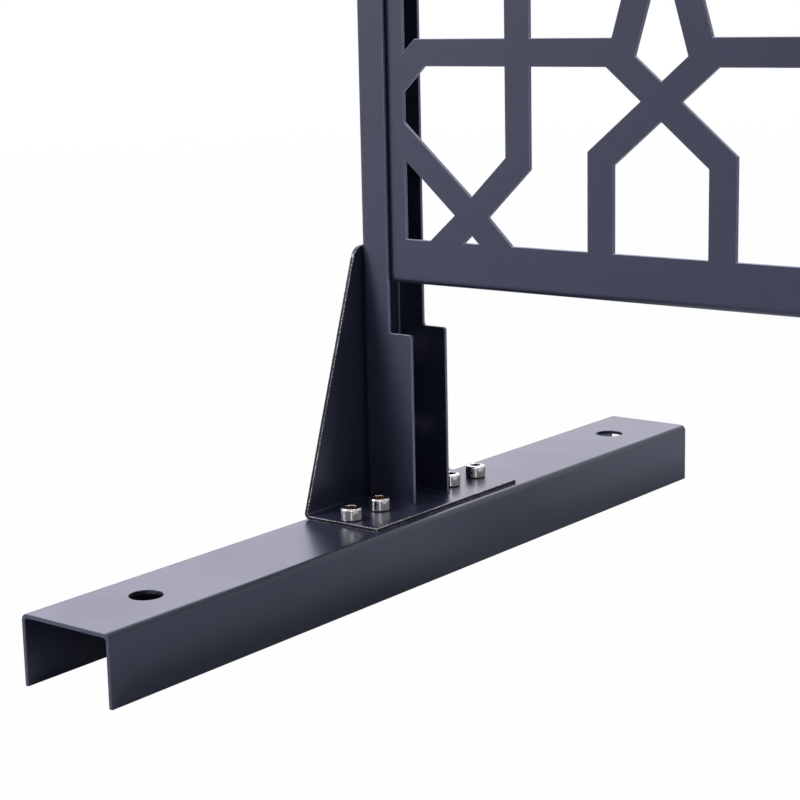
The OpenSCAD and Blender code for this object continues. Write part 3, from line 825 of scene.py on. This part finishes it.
def build_turned_tree():
    tree, given = group_with("Turned piece", {
        "Geometry": ["Geometry"], "Object": ["Section"], "Int": ["Steps Round"], "Vector": ["Turn"],
        "Float": ["Socket Radius", "Shade Height", "Hex From", "Hex To", "Hex Inside", "Hex Outside",
                  "Knurl Depth", "Knurl From", "Knurl To", "Knurl Teeth", "Thread Depth",
                  "Thread From", "Thread To", "Thread Pitch"],
        "Material": ["Material", "Socket Material", "Seat Shade Material"]})
    step, number = partial(add_step, tree), partial(calc, tree)

    def both(a, b):
        return number("MULTIPLY", a, b)

    def between(value, low, high):
        return both(number("GREATER_THAN", value, low), number("LESS_THAN", value, high))

    def share_wave(turns):
        """0 at whole turns and 1 halfway between them."""
        return number("PINGPONG", both(turns, 2), 1)

    def colored(geometry, where, material):
        return step("GeometryNodeSetMaterial",
                    {"Geometry": geometry, "Selection": where, "Material": material})

    section = add_node(tree, "GeometryNodeObjectInfo", {"Object": given["Section"]})
    circle = step("GeometryNodeCurvePrimitiveCircle",
                  {"Resolution": given["Steps Round"], "Radius": SWEEP_RADIUS_MM * MM})
    swept = step("GeometryNodeCurveToMesh",
                 {"Curve": circle, "Profile Curve": section.outputs["Geometry"]})
    x, y, z = add_node(tree, "ShaderNodeSeparateXYZ", {0: step("GeometryNodeInputPosition")}).outputs
    radius = number("SQRT", number("ADD", both(x, x), both(y, y)))
    angle = number("ARCTAN2", y, x)
    turns = number("DIVIDE", angle, math.tau)

    off_side = number("SUBTRACT", number("FLOORED_MODULO", angle, math.tau / HEX_SIDES),
                      math.pi / HEX_SIDES)
    hex_zone = both(between(z, given["Hex From"], given["Hex To"]),
                    between(radius, given["Hex Inside"], given["Hex Outside"]))
    hex_more = number("SUBTRACT", number("DIVIDE", 1.0, number("COSINE", off_side)), 1.0)
    hexed = both(radius, number("ADD", 1.0, both(hex_zone, hex_more)))

    knurl = both(share_wave(both(turns, given["Knurl Teeth"])), given["Knurl Depth"])
    knurl = both(knurl, between(z, given["Knurl From"], given["Knurl To"]))
    pitches = number("DIVIDE", z, given["Thread Pitch"])
    thread = both(share_wave(number("SUBTRACT", turns, pitches)), given["Thread Depth"])
    thread = both(thread, between(z, given["Thread From"], given["Thread To"]))
    outer = number("GREATER_THAN", radius, given["Hex Outside"])
    final = number("SUBTRACT", hexed, both(number("ADD", knurl, thread), outer))

    moved = step("ShaderNodeCombineXYZ",
                 {0: both(final, number("COSINE", angle)), 1: both(final, number("SINE", angle)), 2: z})
    shaped = step("GeometryNodeSetPosition", {"Geometry": swept, "Position": moved})
    closed = step("GeometryNodeMergeByDistance", {"Geometry": shaped, "Distance": MERGE_MM * MM})
    bend = add_node(tree, "GeometryNodeInputMeshEdgeAngle").outputs["Unsigned Angle"]
    smooth = step("GeometryNodeSetShadeSmooth",
                  {"Geometry": closed, "Shade Smooth": True}, domain="FACE")
    sharp = step("GeometryNodeSetShadeSmooth",
                 {"Geometry": smooth, "Shade Smooth": False,
                  "Selection": number("GREATER_THAN", bend, math.radians(SHARP_DEG))}, domain="EDGE")
    in_socket = both(number("GREATER_THAN", z, given["Hex From"]),
                     number("LESS_THAN", radius, given["Socket Radius"]))
    # Painted shade: the faces in the groove under the head get the near-black seat metal.
    shade_under_head = both(between(z, 0.0, given["Shade Height"]),
                      number("GREATER_THAN", radius, given["Socket Radius"]))
    metal = colored(sharp, True, given["Material"])
    stained = colored(metal, in_socket, given["Socket Material"])
    seated = colored(stained, shade_under_head, given["Seat Shade Material"])
    copies = step("GeometryNodeInstanceOnPoints",
                  {"Points": given["Geometry"], "Instance": seated, "Rotation": given["Turn"]})
    coated = step("GeometryNodeRealizeInstances", {"Geometry": copies})
    add_node(tree, "NodeGroupOutput", {"Geometry": coated})
    return tree


turned_tree = build_turned_tree()
print("tree:", turned_tree.name, "with", len(turned_tree.nodes), "nodes")

# %% [markdown]
# ## Sections of the fasteners
#
# Each section is a short list of (radius, height) points in mm, with the seat at height 0. They are
# the M6 sizes of the CAD fasteners, with the small rounds that a real screw has and a CAD solid
# leaves out. The sweep turns the faces outwards only if the outside is listed from the top down,
# so the screw, which is easier to write from its tip up, is turned round at the end.

# %% Draw the sections
SCREW_D, HEAD_D, HEAD_H, HEAD_ROUND = 6, 9.8, 6, 1
SOCKET_AF, SOCKET_DEPTH, BIT_TAPER = 5, 3, 0.4
MOUTH_CHAMFER, HEX_STEP = 0.2, 0.05
NECK_ROUND, GROOVE_IN, GROOVE_H, LIP_ROUND = 0.15, 0.4, 0.42, 0.15
HEAD_ROWS = 12
THREAD_PITCH, THREAD_DEPTH, THREAD_START, TIP_CHAMFER = 1, 0.55, 1.2, 0.6
ROWS_PER_PITCH = 8
NUT_AF, NUT_H, NUT_FLANGE_D, NUT_FLANGE_T = 10, 6, 14.2, 1.5
NUT_CHAMFER, COLLAR, DISH = 0.5, 0.8, 0.4
BORE_D, EDGE_BREAK, LEAST_STEP = 6.1, 0.25, 0.01
INSERT_D, INSERT_L, INSERT_FLANGE_D, INSERT_FLANGE_T, INSERT_GRIP = 9, 13, 12.4, 1.2, 1.8
BULGE_D, BULGE_L, BULGE_TAPER, BULGE_ROUND = 11, 4, 1, 0.4
ARC_STEPS, LIP_STEPS = 6, 2


def arc(centre, radius, start_deg, end_deg, steps=ARC_STEPS):
    """Points of an arc in the (radius, height) plane."""
    angles = [math.radians(start_deg + (end_deg - start_deg) * i / steps) for i in range(steps + 1)]
    return [(centre[0] + radius * math.cos(a), centre[1] + radius * math.sin(a)) for a in angles]


def screw_section(length):
    shank, head, socket = SCREW_D / 2, HEAD_D / 2, SOCKET_AF / 2
    mouth = socket / math.cos(math.pi / HEX_SIDES)
    rows = int((length - TIP_CHAMFER) / THREAD_PITCH * ROWS_PER_PITCH)
    side_low, side_high = GROOVE_H + LIP_ROUND, HEAD_H - HEAD_ROUND
    points = [(0, -length), (shank - TIP_CHAMFER, -length)]
    points += [(shank, (TIP_CHAMFER - length) * (1 - i / rows)) for i in range(rows)]
    points += [(shank, -LEAST_STEP), (shank + NECK_ROUND, 0)]
    points += [(head - GROOVE_IN, 0), (head - GROOVE_IN, GROOVE_H)]
    points += arc((head - LIP_ROUND, side_low), LIP_ROUND, -90, 0, LIP_STEPS)
    points += [(head, side_low + (side_high - side_low) * i / HEAD_ROWS) for i in range(1, HEAD_ROWS)]
    points += arc((head - HEAD_ROUND, side_high), HEAD_ROUND, 0, 90)
    points += [(mouth + MOUTH_CHAMFER, HEAD_H), (mouth, HEAD_H - MOUTH_CHAMFER)]
    points += [(socket, HEAD_H - MOUTH_CHAMFER - HEX_STEP), (socket, HEAD_H - SOCKET_DEPTH + BIT_TAPER)]
    points += [(0, HEAD_H - SOCKET_DEPTH + LEAST_STEP)]
    return points[::-1]


def nut_section():
    bore, flange, flat = BORE_D / 2, NUT_FLANGE_D / 2, NUT_AF / 2
    points = [(bore, NUT_H - NUT_CHAMFER), (bore + NUT_CHAMFER, NUT_H), (flat - NUT_CHAMFER, NUT_H)]
    points += [(flat, NUT_H - NUT_CHAMFER), (flat, NUT_FLANGE_T + COLLAR), (flat + COLLAR, NUT_FLANGE_T)]
    points += [(flange - DISH, NUT_FLANGE_T - DISH), (flange, NUT_FLANGE_T - 2 * DISH)]
    points += [(flange, EDGE_BREAK), (flange - EDGE_BREAK, 0), (bore + EDGE_BREAK, 0), (bore, EDGE_BREAK)]
    return points + points[:1]


def insert_section():
    bore, barrel, flange, bulge = BORE_D / 2, INSERT_D / 2, INSERT_FLANGE_D / 2, BULGE_D / 2
    grip = INSERT_FLANGE_T + INSERT_GRIP
    high, wide = grip + BULGE_L, bulge - BULGE_ROUND
    points = [(bore, INSERT_L - EDGE_BREAK), (bore + EDGE_BREAK, INSERT_L)]
    points += [(barrel - EDGE_BREAK, INSERT_L), (barrel, INSERT_L - EDGE_BREAK)]
    points += [(barrel, high + BULGE_TAPER), (wide, high)]
    points += [(bulge, high - BULGE_TAPER), (bulge, grip + BULGE_TAPER), (wide, grip + EDGE_BREAK)]
    points += [(barrel, grip), (barrel, INSERT_FLANGE_T), (flange - EDGE_BREAK, INSERT_FLANGE_T)]
    points += [(flange, INSERT_FLANGE_T - EDGE_BREAK), (flange, EDGE_BREAK), (flange - EDGE_BREAK, 0)]
    return points + [(bore + EDGE_BREAK, 0), (bore, EDGE_BREAK)] + points[:1]


def section_object(name, points):
    """A section as a curve. The sweep adds its radius and turns the curve over, so both are undone."""
    curve = bpy.data.curves.new(name, "CURVE")
    spline = curve.splines.new("POLY")
    spline.points.add(len(points) - 1)
    for point, (radius, height) in zip(spline.points, points):
        point.co = ((radius - SWEEP_RADIUS_MM) * MM, -height * MM, 0, 1)
    return placed(name, curve)


FOOT_SCREW_L = 12
PANEL_SCREW_L = 16
sections = {
    "short_screw": section_object("short_screw_section", screw_section(FOOT_SCREW_L)),
    "panel_screw": section_object("panel_screw_section", screw_section(PANEL_SCREW_L)),
    "nut": section_object("nut_section", nut_section()),
    "insert": section_object("insert_section", insert_section()),
}
print("sections:", {name: len(piece.data.splines[0].points) for name, piece in sections.items()})

# %% [markdown]
# ## Fasteners in their places
#
# The CAD node tells how many solids it has and where they are. Every solid gives one point on its
# seat, and the outward direction tells how the copy is turned.

# %% Turn the fasteners
FASTENER_KINDS = ("screw", "nut", "insert")
FASTENER_NODES = [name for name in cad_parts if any(kind in name for kind in FASTENER_KINDS)]
DIRECTIONS = {"up": Vector((0, 0, 1)), "down": Vector((0, 0, -1)),
              "left": Vector((-1, 0, 0)), "right": Vector((1, 0, 0))}
KNURL_DEPTH, KNURL_TEETH, KNURL_IN = 0.035, 36, 0.2
HEX_ZONE, SOCKET_RIM, FACE_STEP = 0.5, 0.1, 0.02
RULES = {
    "screw": {"Socket Radius": SOCKET_AF / 2 + SOCKET_RIM, "Shade Height": GROOVE_H,
              "Hex From": HEAD_H - SOCKET_DEPTH, "Hex To": HEAD_H - MOUTH_CHAMFER - HEX_STEP / 2,
              "Hex Outside": SOCKET_AF / 2 + FACE_STEP, "Knurl Depth": KNURL_DEPTH,
              "Knurl From": GROOVE_H + LIP_ROUND + KNURL_IN, "Knurl To": HEAD_H - HEAD_ROUND - KNURL_IN,
              "Knurl Teeth": KNURL_TEETH, "Thread Depth": THREAD_DEPTH, "Thread From": -PANEL_SCREW_L,
              "Thread To": -THREAD_START, "Thread Pitch": THREAD_PITCH},
    "nut": {"Hex From": NUT_FLANGE_T + HEX_ZONE, "Hex To": NUT_H + FACE_STEP,
            "Hex Inside": NUT_AF / 2 - HEX_ZONE - FACE_STEP, "Hex Outside": NUT_AF / 2 + FACE_STEP,
            "Thread Pitch": THREAD_PITCH},
    "insert": {"Thread Pitch": THREAD_PITCH},
}
RULES_WITHOUT_UNIT = ("Knurl Teeth",)


def solids_of(node):
    """The corner lists of the separate solids in a CAD node, in no fixed order from run to run."""
    solid = bmesh.new()
    solid.from_mesh(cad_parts[node].data)
    bmesh.ops.remove_doubles(solid, verts=solid.verts, dist=MERGE_MM * MM)
    left, groups = set(solid.verts), []
    while left:
        waiting, group = [left.pop()], []
        while waiting:
            corner = waiting.pop()
            group.append(corner.co.copy())
            for edge in corner.link_edges:
                other = edge.other_vert(corner)
                if other in left:
                    left.remove(other)
                    waiting.append(other)
        groups.append(group)
    solid.free()
    return groups


def seat_points(node, outward, height_mm):
    """The seat of each solid: its far end along the outward direction, less its height."""
    axis = max(range(3), key=lambda i: abs(outward[i]))
    seats = []
    for group in solids_of(node):
        low = Vector([min(corner[i] for corner in group) for i in range(3)])
        high = Vector([max(corner[i] for corner in group) for i in range(3)])
        seat = (low + high) / 2
        seat[axis] = (high if outward[axis] > 0 else low)[axis] - outward[axis] * height_mm * MM
        seats.append(seat)
    return seats


def turned_piece(node):
    kind = next(kind for kind in FASTENER_KINDS if kind in node)
    is_screw, on_foot = kind == "screw", node.startswith("foot")
    outer_side, inner_side = ("left", "right") if node.endswith("left") else ("right", "left")
    if on_foot:
        outward = DIRECTIONS["up" if is_screw else "down"]
    else:
        outward = DIRECTIONS[outer_side if is_screw else inner_side]
    section = kind if not is_screw else "panel_screw" if "panel" in node else "short_screw"
    height = {"screw": HEAD_H, "nut": NUT_H, "insert": INSERT_L}[kind]
    metal = metals[("bright_steel" if is_screw else "zinc_plate", "z" if on_foot else "x")]
    seats = seat_points(node, outward, height)
    piece = points_object(node + "_seats", seats)
    values = {"Section": sections[section], "Steps Round": STEPS_ROUND, "Material": metal,
              "Socket Material": socket_stain, "Seat Shade Material": seat_painted_shade,
              "Turn": tuple(Vector((0, 0, 1)).rotation_difference(outward).to_euler())}
    values.update({name: value * (1 if name in RULES_WITHOUT_UNIT else MM)
                   for name, value in RULES[kind].items()})
    fill_inputs(piece.modifiers.new("lathe", "NODES"), turned_tree, values)
    return finished(piece, node + "_turned", node), len(seats)


for node_name in FASTENER_NODES:
    turned, count = turned_piece(node_name)
    print(turned.name, "solids:", count, "faces:", len(turned.data.polygons))
for section_piece in sections.values():
    bpy.data.objects.remove(section_piece)
